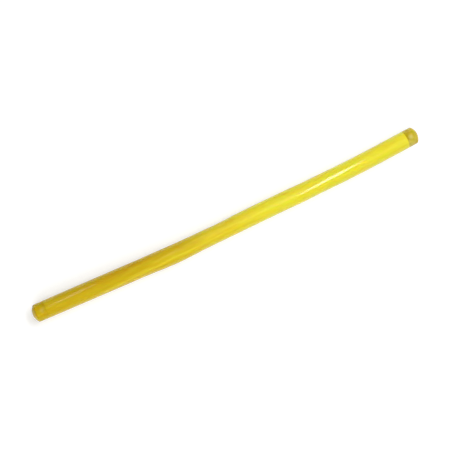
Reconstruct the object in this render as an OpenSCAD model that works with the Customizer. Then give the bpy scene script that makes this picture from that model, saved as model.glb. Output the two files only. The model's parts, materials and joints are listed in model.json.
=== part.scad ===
// Bowed swing trainer stick: a clear tube filled by a soft core and closed by two domed push-in plugs.
// The stick lies along X on the plane Z = 0, and its bow lies flat in XY with the middle towards -Y.

/* [Sleeve] */
// Outside diameter of the sleeve
sleeve_od = 12.7; // [10:0.1:20]
// Wall thickness of the sleeve
sleeve_wall = 1.6; // [0.8:0.1:2.4]

/* [Bow] */
// Straight length of sleeve at the left end
left_run = 88.8; // [40:0.2:200]
// Centreline radius of the left bend
left_bend_radius = 480; // [200:10:3000]
// Angle through which the left bend turns
left_bend_angle = 2.4; // [0.5:0.1:8]
// Straight length of sleeve between the bends
middle_run = 111; // [20:1:300]
// Centreline radius of the right bend
right_bend_radius = 900; // [200:10:3000]
// Angle through which the right bend turns
right_bend_angle = 2.4; // [0.5:0.1:8]
// Straight length of sleeve at the right end
right_run = 23; // [22:0.2:200]
// How much fatter the stick is where it is bent
bend_swell = 0.04; // [0.02:0.01:0.1]

/* [End plugs] */
// Straight length of a plug's head
head_length = 7.2; // [5:0.1:12]
// Height of the dome on a plug's head
dome_height = 2.6; // [1:0.1:4]
// Length of a plug's spigot
spigot_length = 11; // [8:0.1:18]
// Height of each of the spigot's ribs over its shank
rib_height = 0.45; // [0.2:0.05:0.8]
// Length of the full-diameter land on each rib
rib_land = 1.6; // [0.8:0.1:2]
// Length of the lead-in taper on each rib
rib_taper = 2; // [0.5:0.1:2]
// Diameter of the hollow up the middle of a plug
hollow_d = 4; // [2:0.1:5]
// How far a plug's hollow runs on into its head
hollow_reach = 5; // [2.8:0.1:6]

/* [Clearances] */
// How far a plug's head lies below the surface of the sleeve
head_inset = 0.2; // [0.05:0.05:0.5]
// Radial clearance of the ribs in the bore, a running fit
rib_clearance = 0.05; // [0.01:0.01:0.1]
// Radial clearance of the core in the bore
core_clearance = 0.1; // [0.05:0.01:0.3]
// Gap between each end of the core and the plug there
core_end_gap = 0.5; // [0.2:0.1:3]

/* [Hidden] */
$fn = 96;

rib_count = 2;
bend_facets = 1800;
splice = 1;
overrun = 1;
sleeve_colour = [0.91, 0.84, 0.2];
core_colour = [0.82, 0.7, 0.14];
plug_colour = [0.8, 0.72, 0.27];

sleeve_bore = sleeve_od - 2 * sleeve_wall;
core_d = sleeve_bore - 2 * core_clearance;
core_setback = spigot_length + core_end_gap;
head_r = sleeve_od / 2 - head_inset;
rib_r = sleeve_bore / 2 - rib_clearance;
shank_r = rib_r - rib_height;
hollow_r = hollow_d / 2;
rib_pitch = spigot_length / rib_count;
plug_reach = head_length + dome_height;
dome_radius = (pow(head_r, 2) + pow(dome_height, 2)) / (2 * dome_height);

// Where each straight end of the stick begins, measured from the middle of the middle run
left_start = [
    -middle_run / 2 - left_bend_radius * sin(left_bend_angle),
    left_bend_radius * (1 - cos(left_bend_angle))
];
right_start = [
    middle_run / 2 + right_bend_radius * sin(right_bend_angle),
    right_bend_radius * (1 - cos(right_bend_angle))
];

// The extent of the stick, from which it is centred over the origin
left_tip_x = left_start[0] - (left_run + plug_reach) * cos(left_bend_angle);
right_tip_x = right_start[0] + (right_run + plug_reach) * cos(right_bend_angle);
left_rise = left_start[1] + left_run * sin(left_bend_angle);
right_rise = right_start[1] + right_run * sin(right_bend_angle);
stick_centre = [
    (left_tip_x + right_tip_x) / 2,
    max(left_rise, right_rise) / 2,
    -(sleeve_od + bend_swell) / 2
];

// A round rod along X from the origin
module rod(d, length) {
    rotate([0, 90, 0])
        cylinder(d = d, h = length);
}

// A bend that leaves the origin along +X and turns towards +Y
module bend(d, radius, angle) {
    translate([0, radius, 0])
        rotate([0, 0, -90])
            rotate_extrude(angle = angle, $fn = bend_facets)
                translate([radius, 0])
                    circle(d = d, $fn = 96);
}

// The place where the left straight end begins, with X pointing out of the end
module at_left_run() {
    translate([left_start[0], left_start[1], 0])
        rotate([0, 0, 180 - left_bend_angle])
            children();
}

// The place where the right straight end begins, with X pointing out of the end
module at_right_run() {
    translate([right_start[0], right_start[1], 0])
        rotate([0, 0, right_bend_angle])
            children();
}

// A round rod that follows the whole bow and is longer than the sleeve by extra at each end.
// The straight runs reach a splice's length into the bends, which are fatter and swallow their ends.
module bowed_rod(d, extra) {
    translate([-middle_run / 2 - splice, 0, 0])
        rod(d, middle_run + 2 * splice);
    translate([middle_run / 2, 0, 0])
        bend(d + bend_swell, right_bend_radius, right_bend_angle);
    mirror([1, 0, 0])
        translate([middle_run / 2, 0, 0])
            bend(d + bend_swell, left_bend_radius, left_bend_angle);
    at_left_run()
        translate([-splice, 0, 0])
            rod(d, left_run + extra + splice);
    at_right_run()
        translate([-splice, 0, 0])
            rod(d, right_run + extra + splice);
}

// Half the section of a spigot: a shank with ribs that taper towards its free end
module spigot_section() {
    ribs = [
        for (i = [0 : rib_count - 1])
            let (start = i * rib_pitch - spigot_length)
                each [
                    [shank_r, start],
                    [rib_r, start + rib_taper],
                    [rib_r, start + rib_taper + rib_land],
                    [shank_r, start + rib_taper + rib_land]
                ]
    ];
    polygon(concat([[0, -spigot_length]], ribs, [[shank_r, head_length / 2], [0, head_length / 2]]));
}

// Half the section of a head: a straight side under a low dome
module head_section() {
    intersection() {
        square([head_r, plug_reach]);
        translate([0, plug_reach - dome_radius])
            circle(r = dome_radius);
    }
}

// Half the section of the hollow, which ends in a cone
module hollow_section() {
    polygon([
        [0, -spigot_length - overrun],
        [hollow_r, -spigot_length - overrun],
        [hollow_r, hollow_reach - hollow_r],
        [0, hollow_reach]
    ]);
}

// A plug along X, with the seat of its head at the origin and its dome at the +X end
module plug() {
    rotate([0, 90, 0])
        rotate_extrude()
            difference() {
                union() {
                    head_section();
                    spigot_section();
                }
                hollow_section();
            }
}

module outer_sleeve() {
    color(sleeve_colour)
        translate(-stick_centre)
            difference() {
                bowed_rod(sleeve_od, 0);
                bowed_rod(sleeve_bore, overrun);
            }
}

module core_rod() {
    color(core_colour)
        translate(-stick_centre)
            bowed_rod(core_d, -core_setback);
}

module left_end_plug() {
    color(plug_colour)
        translate(-stick_centre)
            at_left_run()
                translate([left_run, 0, 0])
                    plug();
}

module right_end_plug() {
    color(plug_colour)
        translate(-stick_centre)
            at_right_run()
                translate([right_run, 0, 0])
                    plug();
}

outer_sleeve();
core_rod();
left_end_plug();
right_end_plug();
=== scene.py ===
import json
import math

import bpy
from mathutils import Matrix, Vector


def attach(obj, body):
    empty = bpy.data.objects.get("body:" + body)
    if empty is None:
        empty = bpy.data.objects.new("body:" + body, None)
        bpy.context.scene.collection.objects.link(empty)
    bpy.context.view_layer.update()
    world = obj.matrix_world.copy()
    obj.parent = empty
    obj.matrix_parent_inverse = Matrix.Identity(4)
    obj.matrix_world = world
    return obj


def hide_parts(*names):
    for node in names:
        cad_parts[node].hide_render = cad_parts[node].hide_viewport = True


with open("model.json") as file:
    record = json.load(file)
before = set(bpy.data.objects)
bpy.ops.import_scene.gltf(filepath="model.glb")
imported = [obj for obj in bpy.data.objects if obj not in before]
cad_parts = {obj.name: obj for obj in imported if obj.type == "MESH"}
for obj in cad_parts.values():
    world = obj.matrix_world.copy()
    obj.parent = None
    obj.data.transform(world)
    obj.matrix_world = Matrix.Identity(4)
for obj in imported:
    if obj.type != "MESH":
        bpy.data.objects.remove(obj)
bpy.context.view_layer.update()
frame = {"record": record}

# Core rod: a soft, cloudy rod that fills the tube from plug to plug.
# It is cast in one length with fine bubbles and streaks of dye in it, and pushed in wet, so that it
# sits tight against the bore all round and takes the bow of the tube.
MM = 0.001
UP = Vector((0, 0, 1))
mounts = {mount["name"]: mount for mount in frame["record"]["mounts"]}
sleeve_radius = mounts["left_end"]["dims"]["r_mm"] * MM
sleeve_wall = 1.6 * MM
left_bend_radius = 480 * MM
right_bend_radius = 900 * MM
spigot_length = 11 * MM
core_end_gap = 0.5 * MM
core_squeeze = 0.02 * MM
core_rim = 0.6 * MM
tube_sides = 96
ring_step = 2 * MM
weld_distance = 0.005 * MM
sharp_edge = math.radians(60)
smooth_edge = math.radians(40)


def run_ends(name):
    """The inner and the outer end of a straight run of the sleeve, and the way that it points out."""
    mount = mounts[name]
    middle = Vector(mount["pos_m"])
    outward = Vector(mount["axis"]).normalized()
    half = mount["dims"]["length_mm"] * MM / 2
    return middle - half * outward, middle + half * outward, outward


left_inner, left_seat, left_out = run_ends("left_end")
right_inner, right_seat, right_out = run_ends("right_end")
bend_angle = math.atan2(right_out.y, right_out.x)


def extrude_run(start, end):
    """Carries the selected ring from start to end in even steps."""
    steps = max(1, round((end - start).length / ring_step))
    for _ in range(steps):
        bpy.ops.mesh.extrude_region_move(
            TRANSFORM_OT_translate={"value": (end - start) / steps}
        )


def spin_bend(centre, radius):
    """Swings the selected ring round one bend of the stick."""
    steps = max(4, round(radius * bend_angle / ring_step))
    bpy.ops.mesh.spin(steps=steps, angle=-bend_angle, center=centre, axis=UP)


def press_width(tube, place, gain, reach, held=0, falloff="SMOOTH"):
    """Makes the tube fatter or leaner across the bow at one place, fading out over reach.
    Its middle line is held where it is (0), or its edge on the +Y side (1) or on the -Y side (-1)."""
    bpy.ops.mesh.select_all(action="DESELECT")
    bpy.ops.object.mode_set(mode="OBJECT")
    ring = [v for v in tube.data.vertices if abs(v.co.x - place) < ring_step / 2]
    for vertex in ring:
        vertex.select = True
    centre = sum((v.co for v in ring), Vector()) / len(ring)
    centre.y += held * sleeve_radius
    bpy.ops.object.mode_set(mode="EDIT")
    bpy.ops.transform.resize(
        value=(1, gain, 1),
        center_override=centre,
        use_proportional_edit=True,
        proportional_edit_falloff=falloff,
        proportional_size=reach,
    )


def bowed_tube(name, radius, setback):
    """An open tube along the whole bow, short of the sleeve's ends by setback."""
    start = left_seat - setback * left_out
    end = right_seat - setback * right_out
    left_centre = left_inner - left_bend_radius * UP.cross(left_out)
    right_centre = right_inner + right_bend_radius * UP.cross(right_out)
    bpy.ops.object.select_all(action="DESELECT")
    bpy.ops.mesh.primitive_circle_add(
        vertices=tube_sides,
        radius=radius,
        location=start,
        rotation=(0, math.pi / 2, -bend_angle),
    )
    tube = bpy.context.object
    tube.name = name
    bpy.ops.object.transform_apply()
    bpy.ops.object.mode_set(mode="EDIT")
    extrude_run(start, left_inner)
    spin_bend(left_centre, left_bend_radius)
    middle_start = Vector((left_centre.x, left_centre.y - left_bend_radius, left_inner.z))
    middle_end = Vector((right_centre.x, middle_start.y, left_inner.z))
    extrude_run(middle_start, middle_end)
    spin_bend(right_centre, right_bend_radius)
    extrude_run(right_inner, end)
    # Soft plastic is never quite even: it is fat at some places along the bow and lean at one
    press_width(tube, place=-95 * MM, gain=1.02, reach=75 * MM)
    press_width(tube, place=-45 * MM, gain=1.035, reach=28 * MM)
    press_width(tube, place=-45 * MM, gain=1.026, reach=26 * MM, held=1)
    press_width(tube, place=-9 * MM, gain=0.985, reach=14 * MM, held=-1)
    press_width(tube, place=26 * MM, gain=1.025, reach=26 * MM, held=-1, falloff="SPHERE")
    press_width(tube, place=53 * MM, gain=1.02, reach=16 * MM, held=1)
    bpy.ops.mesh.select_all(action="SELECT")
    bpy.ops.mesh.remove_doubles(threshold=weld_distance)
    bpy.ops.mesh.normals_make_consistent(inside=False)
    bpy.ops.object.mode_set(mode="OBJECT")
    return tube


core_radius = sleeve_radius - sleeve_wall + core_squeeze
core = bowed_tube("core", core_radius, spigot_length + core_end_gap)
bpy.ops.object.mode_set(mode="EDIT")
bpy.ops.mesh.select_all(action="DESELECT")
bpy.ops.mesh.select_non_manifold()
bpy.ops.mesh.fill_holes(sides=0)
bpy.ops.mesh.select_all(action="DESELECT")
bpy.ops.mesh.edges_select_sharp(sharpness=sharp_edge)
bpy.ops.mesh.bevel(offset=core_rim, segments=4)
bpy.ops.object.mode_set(mode="OBJECT")
bpy.ops.object.shade_smooth_by_angle(angle=smooth_edge)


def new_finish(name):
    """A new material, with its shader and the place of each point on the piece."""
    material = bpy.data.materials.new(name)
    material.use_nodes = True
    tree = material.node_tree
    place = tree.nodes.new("ShaderNodeTexCoord").outputs["Object"]
    return material, tree, tree.nodes["Principled BSDF"], place


def cloud(tree, place, grain, stretch=1, turn=0, detail=2):
    """Soft noise with spots of about one grain, drawn out along the stick by stretch."""
    mapping = tree.nodes.new("ShaderNodeMapping")
    mapping.inputs["Rotation"].default_value = (0, 0, turn)
    mapping.inputs["Scale"].default_value = (1 / (grain * stretch), 1 / grain, 1 / grain)
    texture = tree.nodes.new("ShaderNodeTexNoise")
    texture.inputs["Scale"].default_value = 1
    texture.inputs["Detail"].default_value = detail
    tree.links.new(place, mapping.inputs["Vector"])
    tree.links.new(mapping.outputs["Vector"], texture.inputs["Vector"])
    return texture.outputs["Fac"]


def spread(tree, value, start, end, low=0, high=1):
    """Takes value from the range start to end over to the range low to high, and holds it there."""
    node = tree.nodes.new("ShaderNodeMapRange")
    node.inputs["From Min"].default_value = start
    node.inputs["From Max"].default_value = end
    node.inputs["To Min"].default_value = low
    node.inputs["To Max"].default_value = high
    tree.links.new(value, node.inputs["Value"])
    return node.outputs["Result"]


def sway(tree, noise, low, high):
    """Takes noise, which hardly leaves the range from 0.3 to 0.7, over to the range low to high."""
    return spread(tree, noise, 0.3, 0.7, low, high)


def combine(tree, operation, first, second):
    """One sum on two values, of which the second may be a plain number."""
    node = tree.nodes.new("ShaderNodeMath")
    node.operation = operation
    tree.links.new(first, node.inputs[0])
    if isinstance(second, (int, float)):
        node.inputs[1].default_value = second
    else:
        tree.links.new(second, node.inputs[1])
    return node.outputs["Value"]


def blend_colour(tree, amount, first, second):
    """Goes from the first colour to the second, either of which may come from other nodes."""
    node = tree.nodes.new("ShaderNodeMix")
    node.data_type = "RGBA"
    tree.links.new(amount, node.inputs["Factor"])
    for socket, colour in ((node.inputs[6], first), (node.inputs[7], second)):
        if isinstance(colour, tuple):
            socket.default_value = (*colour, 1)
        else:
            tree.links.new(colour, socket)
    return node.outputs[2]


def raise_surface(tree, shader, height, depth):
    """Lifts the surface by height times depth."""
    node = tree.nodes.new("ShaderNodeBump")
    node.inputs["Strength"].default_value = 1
    node.inputs["Distance"].default_value = depth
    tree.links.new(height, node.inputs["Height"])
    tree.links.new(node.outputs["Normal"], shader.inputs["Normal"])


# The colour goes from amber to lemon between these places: partly the dye, partly painted shade darkening the
# left end.
amber_until = -80 * MM
lemon_from = 32 * MM
drift_wander = 12 * MM


def axes_of(tree, place):
    """The X, Y and Z of each place on the piece."""
    axes = tree.nodes.new("ShaderNodeSeparateXYZ")
    tree.links.new(place, axes.inputs["Vector"])
    return axes.outputs


def dye_and_shade_drift(tree, place):
    """Amber at the left to lemon at the right: partly the dye's own fade, partly painted shade of light
    falling off to the left.
    """
    wander = sway(tree, cloud(tree, place, grain=18 * MM, stretch=2), -drift_wander, drift_wander)
    along = combine(tree, "ADD", axes_of(tree, place)["X"], wander)
    return spread(tree, along, amber_until, lemon_from)


core_amber = (0.86, 0.60, 0.03)
core_lemon = (0.93, 0.84, 0.10)
core_bubble = (0.97, 0.92, 0.45)
core_streak_depth = 0.08 * MM
bubble_spacing = 5 * MM
bubble_radius = 0.06
bubble_edge = 0.1
core_glow_depth = 4 * MM
glow_reach = (1, 0.7, 0.12)
core_finish, tree, shader, place = new_finish("cloudy_core")
streaks = cloud(tree, place, grain=2.2 * MM, stretch=14, detail=4)
drift = combine(tree, "ADD", dye_and_shade_drift(tree, place), sway(tree, streaks, low=-0.25, high=0.25))
colour = blend_colour(tree, drift, core_amber, core_lemon)
bubbles = tree.nodes.new("ShaderNodeTexVoronoi")
bubbles.inputs["Scale"].default_value = 1 / bubble_spacing
tree.links.new(place, bubbles.inputs["Vector"])
bubble = spread(tree, bubbles.outputs["Distance"], bubble_radius, bubble_edge, 1, 0)
colour = blend_colour(tree, bubble, colour, core_bubble)
tree.links.new(colour, shader.inputs["Base Color"])
tree.links.new(sway(tree, streaks, low=0.35, high=0.6), shader.inputs["Roughness"])
raise_surface(tree, shader, streaks, core_streak_depth)
shader.inputs["Subsurface Weight"].default_value = 1
shader.inputs["Subsurface Radius"].default_value = glow_reach
shader.inputs["Subsurface Scale"].default_value = core_glow_depth
core.data.materials.append(core_finish)
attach(core, "stick")
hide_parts("core_rod")

# Outer sleeve: the tube that makes the outside of the stick, of soft, glossy, see-through plastic.
# It is drawn hot through a ring, which leaves fine lines and faint streaks of dye along it, cut
# square at both ends and bowed a little from lying on a coil. A painted bright band on its -Y side
# stands for light focused through the tube, and a painted dark band on the +Y side of its left half
# for shade.
sleeve_rim = 0.06 * MM
sleeve = bowed_tube("sleeve", sleeve_radius, 0)
wall = sleeve.modifiers.new("wall", "SOLIDIFY")
wall.thickness = sleeve_wall
wall.offset = -1
bpy.ops.object.modifier_apply(modifier="wall")
bpy.ops.object.mode_set(mode="EDIT")
bpy.ops.mesh.select_all(action="DESELECT")
bpy.ops.mesh.edges_select_sharp(sharpness=sharp_edge)
bpy.ops.mesh.bevel(offset=sleeve_rim, segments=3)
bpy.ops.object.mode_set(mode="OBJECT")
bpy.ops.object.shade_smooth_by_angle(angle=smooth_edge)

sleeve_amber = (0.72, 0.53, 0.011)
sleeve_lemon = (0.96, 0.825, 0.052)
sleeve_shade = (0.73, 0.44, 0.008)
trail_wander = 0.6 * MM
caustic_strength = 0.6
shade_strength = 0.8
scuff_roughness = 0.08
draw_line_depth = 0.002 * MM
skin_glow_depth = 0.4 * MM
plastic_ior = 1.48


def painted_band(tree, place, line, width, start, full, fading, gone):
    """A mask for a painted band along one straight line, over which the tube bows: painted light on one side,
    painted shade on the other.
    """
    axes = axes_of(tree, place)
    wander = sway(tree, cloud(tree, place, grain=9 * MM, stretch=4), -trail_wander, trail_wander)
    beside = combine(tree, "SUBTRACT", combine(tree, "ADD", axes["Y"], wander), line)
    across = spread(tree, combine(tree, "ABSOLUTE", beside, 0), 0, width, 1, 0)
    fade_in = spread(tree, axes["X"], start, full)
    fade_out = spread(tree, axes["X"], fading, gone, 1, 0)
    return combine(tree, "MULTIPLY", across, combine(tree, "MULTIPLY", fade_in, fade_out))


sleeve_finish, tree, shader, place = new_finish("drawn_sleeve")
# Painted light: a lemon band along the -Y side of the left half, where light focused through the tube glows.
painted_caustic = painted_band(
    tree,
    place,
    line=-4.3 * MM,
    width=1.5 * MM,
    start=-115 * MM,
    full=-85 * MM,
    fading=-62 * MM,
    gone=8 * MM,
)
# Painted shade: a darker band along the +Y side of the left half, where less light falls.
painted_shade_band = painted_band(
    tree,
    place,
    line=3.4 * MM,
    width=3 * MM,
    start=-125 * MM,
    full=-95 * MM,
    fading=-65 * MM,
    gone=-30 * MM,
)
streaks = cloud(tree, place, grain=2.5 * MM, stretch=10, detail=3)
drift = combine(tree, "ADD", dye_and_shade_drift(tree, place), sway(tree, streaks, low=-0.18, high=0.18))
drift = combine(tree, "ADD", drift, combine(tree, "MULTIPLY", painted_caustic, caustic_strength))
colour = blend_colour(tree, drift, sleeve_amber, sleeve_lemon)
shade_amount = combine(tree, "MULTIPLY", painted_shade_band, shade_strength)
colour = blend_colour(tree, shade_amount, colour, sleeve_shade)
tree.links.new(colour, shader.inputs["Base Color"])
draw_lines = cloud(tree, place, grain=0.45 * MM, stretch=70, detail=3)
scratches = cloud(tree, place, grain=0.5 * MM, stretch=12, turn=0.5, detail=4)
scuffs = spread(tree, scratches, start=0.65, end=0.78)
polish = sway(tree, cloud(tree, place, grain=9 * MM, stretch=3), low=0.03, high=0.06)
rough = combine(tree, "ADD", polish, combine(tree, "MULTIPLY", scuffs, scuff_roughness))
tree.links.new(rough, shader.inputs["Roughness"])
raise_surface(tree, shader, combine(tree, "ADD", draw_lines, scuffs), draw_line_depth)
shader.inputs["IOR"].default_value = plastic_ior
shader.inputs["Specular IOR Level"].default_value = 0.3
shader.inputs["Transmission Weight"].default_value = 0.15
shader.inputs["Subsurface Weight"].default_value = 1
shader.inputs["Subsurface Radius"].default_value = glow_reach
shader.inputs["Subsurface Scale"].default_value = skin_glow_depth
sleeve.data.materials.append(sleeve_finish)
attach(sleeve, "stick")
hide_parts("outer_sleeve")

# End plugs: one domed moulding in each end, of clear plastic with a duller dye than the sleeve.
# The head closes the tube flush, and ribs grip the bore. A pale spot on top of each head is a
# painted highlight, where the lamps' gloss would shine. A hollow keeps the walls even, and the gate
# has left a small pit on the dome.
head_inset = 0.02 * MM
head_radius = sleeve_radius - head_inset
crown_height = 0.04 * MM
edge_radius = head_radius - crown_height
seat_land = 0.1 * MM
crown_rings = 8
head_length = 7.2 * MM
dome_height = 2.6 * MM
dome_shoulder = 1.3 * MM
dome_curve = (edge_radius**2 + dome_height**2) / (2 * dome_height)
dome_edge = math.asin((edge_radius - dome_shoulder) / (dome_curve - dome_shoulder))
dome_centre = head_length + dome_height - dome_curve
side_length = dome_centre + (dome_curve - dome_shoulder) * math.cos(dome_edge)
shoulder_rings = 6
dome_rings = 12
gate_radius = 0.9 * MM
gate_floor = 0.7 * MM
gate_depth = 0.15 * MM
rib_clearance = 0.05 * MM
rib_height = 0.45 * MM
rib_radius = sleeve_radius - sleeve_wall - rib_clearance
shank_radius = rib_radius - rib_height
rib_land = 1.6 * MM
rib_taper = 2 * MM
rib_count = 2
hollow_radius = 2 * MM
hollow_reach = 5 * MM
plug_sides = 96
plug_smooth_edge = math.radians(30)


def select_end(plug, way):
    """Selects the face at the end of the plug that looks up (way 1) or down (way -1) its axis."""
    bpy.ops.mesh.select_all(action="DESELECT")
    bpy.ops.object.mode_set(mode="OBJECT")
    end = max(plug.data.polygons, key=lambda face: way * face.center.z)
    end.select = True
    bpy.ops.object.mode_set(mode="EDIT")


def carry_end(rise, radius, old_radius):
    """Carries the selected end face on along the axis and gives it a new radius."""
    bpy.ops.mesh.extrude_region_move(TRANSFORM_OT_translate={"value": (0, 0, rise)})
    gain = radius / old_radius
    bpy.ops.transform.resize(value=(gain, gain, 1))
    return radius


def close_end(rise):
    """Draws the selected end face out to a point."""
    bpy.ops.mesh.extrude_region_move(TRANSFORM_OT_translate={"value": (0, 0, rise)})
    bpy.ops.mesh.merge(type="CENTER")


def carry_round(curve, inset, start, end, rings, radius):
    """Carries the selected end face up a round of the given curve, whose middle lies inset off the axis.
    The angles run from the axis, so the round begins at start and flattens out towards end."""
    for ring in range(rings):
        lower = start + (end - start) * ring / rings
        upper = start + (end - start) * (ring + 1) / rings
        rise = curve * (math.cos(upper) - math.cos(lower))
        radius = carry_end(rise, inset + curve * math.sin(upper), radius)
    return radius


def raise_side():
    """Carries the selected top of the seat's land up the side of the head, which is a hair fatter halfway."""
    radius = edge_radius
    rise = (side_length - seat_land) / crown_rings
    for ring in range(crown_rings):
        share = 2 * (ring + 1) / crown_rings - 1
        radius = carry_end(rise, head_radius - crown_height * share**2, radius)


def raise_dome():
    """Draws the selected end of the head up over its shoulder into a low dome, with the gate's pit on top."""
    inset = edge_radius - dome_shoulder
    radius = carry_round(dome_shoulder, inset, math.pi / 2, dome_edge, shoulder_rings, edge_radius)
    gate_edge = math.asin(gate_radius / dome_curve)
    radius = carry_round(dome_curve, 0, dome_edge, gate_edge, dome_rings, radius)
    carry_end(-gate_depth, gate_floor, radius)


def draw_spigot():
    """Draws the selected seat of the head down into the ribbed spigot and bores it out."""
    radius = carry_end(0, shank_radius, edge_radius)
    plain = spigot_length / rib_count - rib_taper - rib_land
    for _ in range(rib_count):
        radius = carry_end(-plain, shank_radius, radius)
        radius = carry_end(0, rib_radius, radius)
        radius = carry_end(-rib_land, rib_radius, radius)
        radius = carry_end(-rib_taper, shank_radius, radius)
    radius = carry_end(0, hollow_radius, radius)
    carry_end(spigot_length + hollow_reach - hollow_radius, hollow_radius, radius)
    close_end(hollow_radius)


def moulded_plug(name, seat, outward):
    """One plug, modelled upright with its seat at the origin and then laid in the end of the sleeve."""
    bpy.ops.object.select_all(action="DESELECT")
    bpy.ops.mesh.primitive_cylinder_add(
        vertices=plug_sides,
        radius=edge_radius,
        depth=seat_land,
        location=(0, 0, seat_land / 2),
    )
    plug = bpy.context.object
    plug.name = name
    bpy.ops.object.transform_apply()
    bpy.ops.object.mode_set(mode="EDIT")
    bpy.ops.mesh.select_mode(type="FACE")
    select_end(plug, 1)
    raise_side()
    raise_dome()
    select_end(plug, -1)
    draw_spigot()
    bpy.ops.mesh.select_all(action="SELECT")
    bpy.ops.mesh.remove_doubles(threshold=weld_distance)
    bpy.ops.mesh.normals_make_consistent(inside=False)
    bpy.ops.object.mode_set(mode="OBJECT")
    plug.location = seat
    plug.rotation_euler = (0, math.pi / 2, math.atan2(outward.y, outward.x))
    bpy.ops.object.transform_apply()
    bpy.ops.object.shade_smooth_by_angle(angle=plug_smooth_edge)
    return plug


def apart(tree, place, point):
    """How far each place on the piece is from one point."""
    node = tree.nodes.new("ShaderNodeVectorMath")
    node.operation = "DISTANCE"
    tree.links.new(place, node.inputs[0])
    node.inputs[1].default_value = point
    return node.outputs["Value"]


plug_amber = (0.83, 0.59, 0.006)
plug_gold = (0.89, 0.74, 0.12)
plug_olive = (0.65, 0.49, 0.012)
plug_brown = (0.73, 0.53, 0.008)
plug_glint = (0.96, 0.85, 0.36)
glint_rise = 3.1 * MM
glint_reach = 2.2 * MM
left_glint_strength = 0.25
right_glint_strength = 0.6
satin_depth = 0.004 * MM
plug_finish, tree, shader, place = new_finish("moulded_plug")
mottle = spread(tree, cloud(tree, place, grain=5 * MM, detail=3), start=0.35, end=0.65)
drift = dye_and_shade_drift(tree, place)
clean = blend_colour(tree, drift, plug_amber, plug_gold)
dull = blend_colour(tree, drift, plug_brown, plug_olive)
colour = blend_colour(tree, mottle, dull, clean)
# Painted highlight: a pale spot on top of each head, stronger on the right, where the lamps' gloss would
# shine.
left_glint = left_seat + glint_rise * left_out + head_radius * UP
right_glint = right_seat + glint_rise * right_out + head_radius * UP
for glint_place, strength in ((left_glint, left_glint_strength), (right_glint, right_glint_strength)):
    glint_amount = spread(tree, apart(tree, place, glint_place), 0, glint_reach, strength, 0)
    colour = blend_colour(tree, glint_amount, colour, plug_glint)
tree.links.new(colour, shader.inputs["Base Color"])
satin = cloud(tree, place, grain=0.9 * MM)
tree.links.new(sway(tree, satin, low=0.08, high=0.14), shader.inputs["Roughness"])
raise_surface(tree, shader, satin, satin_depth)
shader.inputs["IOR"].default_value = plastic_ior
shader.inputs["Specular IOR Level"].default_value = 0.15
shader.inputs["Transmission Weight"].default_value = 0.32
shader.inputs["Subsurface Weight"].default_value = 1
shader.inputs["Subsurface Radius"].default_value = glow_reach
shader.inputs["Subsurface Scale"].default_value = skin_glow_depth
for side, seat, outward in (("left", left_seat, left_out), ("right", right_seat, right_out)):
    plug = moulded_plug(side + "_plug", seat, outward)
    plug.data.materials.append(plug_finish)
    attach(plug, side + "_plug")
    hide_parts(side + "_end_plug")

# Floor: a plain white sheet that the stick lies on, with no gloss.
# It carries the stick's soft shadow, and what looks straight at it sees it lifted to white, all the
# more where the lamps no longer reach it.
floor_size = 40
floor_white = (0.72, 0.72, 0.72)
near_lift = 0.38
near_reach = 0.4
far_lift = 1
far_reach = 1.3
bpy.ops.object.select_all(action="DESELECT")
bpy.ops.mesh.primitive_plane_add(size=floor_size)
floor = bpy.context.object
floor.name = "floor"
floor_finish, tree, shader, place = new_finish("white_floor")
shader.inputs["Base Color"].default_value = (*floor_white, 1)
shader.inputs["Roughness"].default_value = 1
shader.inputs["Specular IOR Level"].default_value = 0
shader.inputs["Emission Color"].default_value = (1, 1, 1, 1)
ray = tree.nodes.new("ShaderNodeLightPath").outputs
seen = combine(tree, "MAXIMUM", ray["Is Camera Ray"], ray["Is Glossy Ray"])
seen = combine(tree, "MAXIMUM", seen, ray["Is Transmission Ray"])
from_stick = apart(tree, place, (0, 0, 0))
lift = spread(tree, from_stick, near_reach, far_reach, near_lift, far_lift)
tree.links.new(combine(tree, "MULTIPLY", seen, lift), shader.inputs["Emission Strength"])
floor.data.materials.append(floor_finish)

# Studio light: a short bright strip over the right half with dim ones beside it, and a dim one over
# the left end, which the gloss mirrors. Two broad soft lamps, which it doesn't mirror, light the
# rest, and the room around them is dark.
strip_tilt = math.radians(-8)
lamp_height = 0.6
room_level = 0.15


def hang_lamp(name, middle, width, length, brightness, mirrored=True):
    """A lamp over the stick that looks at its middle if it is soft and straight down if it is mirrored."""
    data = bpy.data.lights.new(name, "AREA")
    data.shape = "RECTANGLE"
    data.size = width
    data.size_y = length
    data.energy = brightness * math.pi * width * length
    lamp = bpy.data.objects.new(name, data)
    bpy.context.collection.objects.link(lamp)
    lamp.location = middle
    if mirrored:
        lamp.rotation_euler = (0, 0, strip_tilt)
    else:
        lamp.rotation_euler = middle.to_track_quat("Z", "Y").to_euler()
    lamp.visible_glossy = mirrored
    lamp.visible_camera = False


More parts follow.
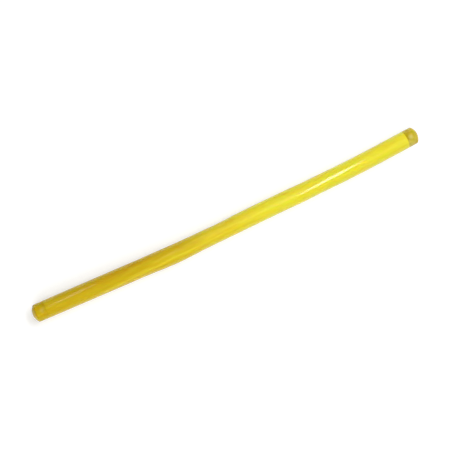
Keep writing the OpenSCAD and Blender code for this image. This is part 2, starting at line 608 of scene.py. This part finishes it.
hang_lamp("bright_strip", Vector((0.2205, 0.048, lamp_height)), width=0.045, length=0.41, brightness=16.5)
hang_lamp("glow_strip", Vector((0.156, 0.04, lamp_height)), width=0.08, length=0.4, brightness=1.5)
hang_lamp("haze_strip", Vector((0.08, 0.3, lamp_height)), width=0.11, length=0.5, brightness=0.6)
hang_lamp("end_strip", Vector((0.31, -0.05, lamp_height)), width=0.05, length=0.26, brightness=1.3)
hang_lamp("left_strip", Vector((-0.087, 0.43, lamp_height)), width=0.04, length=0.52, brightness=2.9)
hang_lamp("low_fill", Vector((-0.4, -0.485, 0.504)), width=0.9, length=0.9, brightness=1.9, mirrored=False)
hang_lamp("top_fill", Vector((0.68, 0.35, 0.75)), width=1.4, length=1.4, brightness=1.3, mirrored=False)
world = bpy.data.worlds.new("room")
world.use_nodes = True
background = world.node_tree.nodes["Background"]
background.inputs["Color"].default_value = (1, 1, 1, 1)
background.inputs["Strength"].default_value = room_level
bpy.context.scene.world = world

# Camera: above the stick with a long lens, a little nearer to its left end, which looks the thicker.
# Its place, turn and lens come from where the two tips lie in the photograph, in pixels.
photo_size = 450
left_tip_px = Vector((32.3, 314.5))
right_tip_px = Vector((416.0, 133.15))
near_gain = 1.05
camera_distance = 0.9
left_tip = left_seat + (head_length + dome_height) * left_out
right_tip = right_seat + (head_length + dome_height) * right_out
chord = right_tip - left_tip
along = chord.normalized()
across = UP.cross(along)
chord_px = right_tip_px - left_tip_px
photo_middle_px = Vector(((photo_size - 1) / 2, (photo_size - 1) / 2))
middle_share_px = (photo_middle_px - left_tip_px).dot(chord_px) / chord_px.length_squared
middle_share = middle_share_px / ((1 - middle_share_px) * near_gain + middle_share_px)
left_reach = middle_share * chord.length
lean = math.asin(camera_distance * (near_gain - 1) / (chord.length + left_reach * (near_gain - 1)))
left_depth = camera_distance - left_reach * math.sin(lean)
lens_px = middle_share_px * chord_px.length * left_depth / (left_reach * math.cos(lean))
slant = math.atan2(-chord_px.y, chord_px.x)
off_px = photo_middle_px - left_tip_px - middle_share_px * chord_px
lift_px = -off_px.x * math.sin(slant) - off_px.y * math.cos(slant)
aim = left_tip + middle_share * chord + lift_px * camera_distance / lens_px * across
camera = bpy.data.objects.new("camera", bpy.data.cameras.new("camera"))
bpy.context.collection.objects.link(camera)
camera.location = aim + camera_distance * (math.cos(lean) * UP - math.sin(lean) * along)
camera_turn = (
    Matrix.Rotation(math.atan2(chord.y, chord.x), 3, "Z")
    @ Matrix.Rotation(-lean, 3, "Y")
    @ Matrix.Rotation(-slant, 3, "Z")
)
camera.rotation_euler = camera_turn.to_euler()
camera.data.lens = camera.data.sensor_width * lens_px / photo_size
bpy.context.scene.camera = camera
bpy.context.scene.view_settings.view_transform = "Standard"
